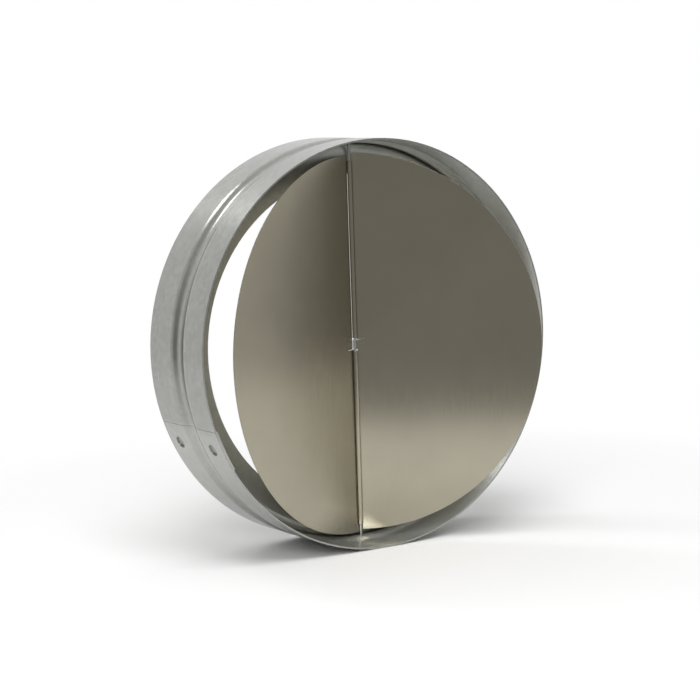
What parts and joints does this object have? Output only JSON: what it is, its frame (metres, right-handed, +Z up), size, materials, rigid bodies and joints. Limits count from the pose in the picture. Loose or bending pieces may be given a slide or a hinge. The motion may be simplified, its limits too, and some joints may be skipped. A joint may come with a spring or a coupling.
{
  "type": "duct damper",
  "caption": "Round back-draft duct damper: a short beaded sheet-metal collar with half-disc blades that swing on a centre rod and are returned by a torsion spring.",
  "frame": {"origin": "middle of the collar, on the duct axis; the hinge rod's axis stands 1.5 mm from it, towards the outlet side", "axes": "+Y along the duct axis towards the inlet side, +Z up the hinge rod, +X to the right seen from the outlet side"},
  "size_m": [0.2, 0.085, 0.2],
  "materials": {
    "galvanised_collar": "galvanised sheet with soft spangle",
    "galvanised_seat": "galvanised sheet",
    "rod_steel": "bright drawn steel",
    "blade_aluminium": "satin mill-finish sheet",
    "spring_steel": "bright spring wire"
  },
  "bodies": {
    "housing": {"collar": "galvanised_collar", "seat_ring": "galvanised_seat", "hinge_rod": "rod_steel", "torsion_spring": "spring_steel"},
    "left_blade": {"left_blade": "blade_aluminium"},
    "right_blade": {"right_blade": "blade_aluminium"}
  },
  "joints": [
    {"name": "left_blade_swing", "type": "hinge", "parent": "housing", "child": "left_blade", "pos_m": [0, -0.0015, 0], "axis": [0, 0, 1], "range_deg": [-19.5, 60], "stiffness_Nm_per_rad": 0.01, "deforming": ["torsion_spring"]},
    {"name": "right_blade_swing", "type": "hinge", "parent": "housing", "child": "right_blade", "pos_m": [0, -0.0015, 0], "axis": [0, 0, -1], "range_deg": [-40, 40], "stiffness_Nm_per_rad": 0.01, "deforming": ["torsion_spring"]}
  ]
}
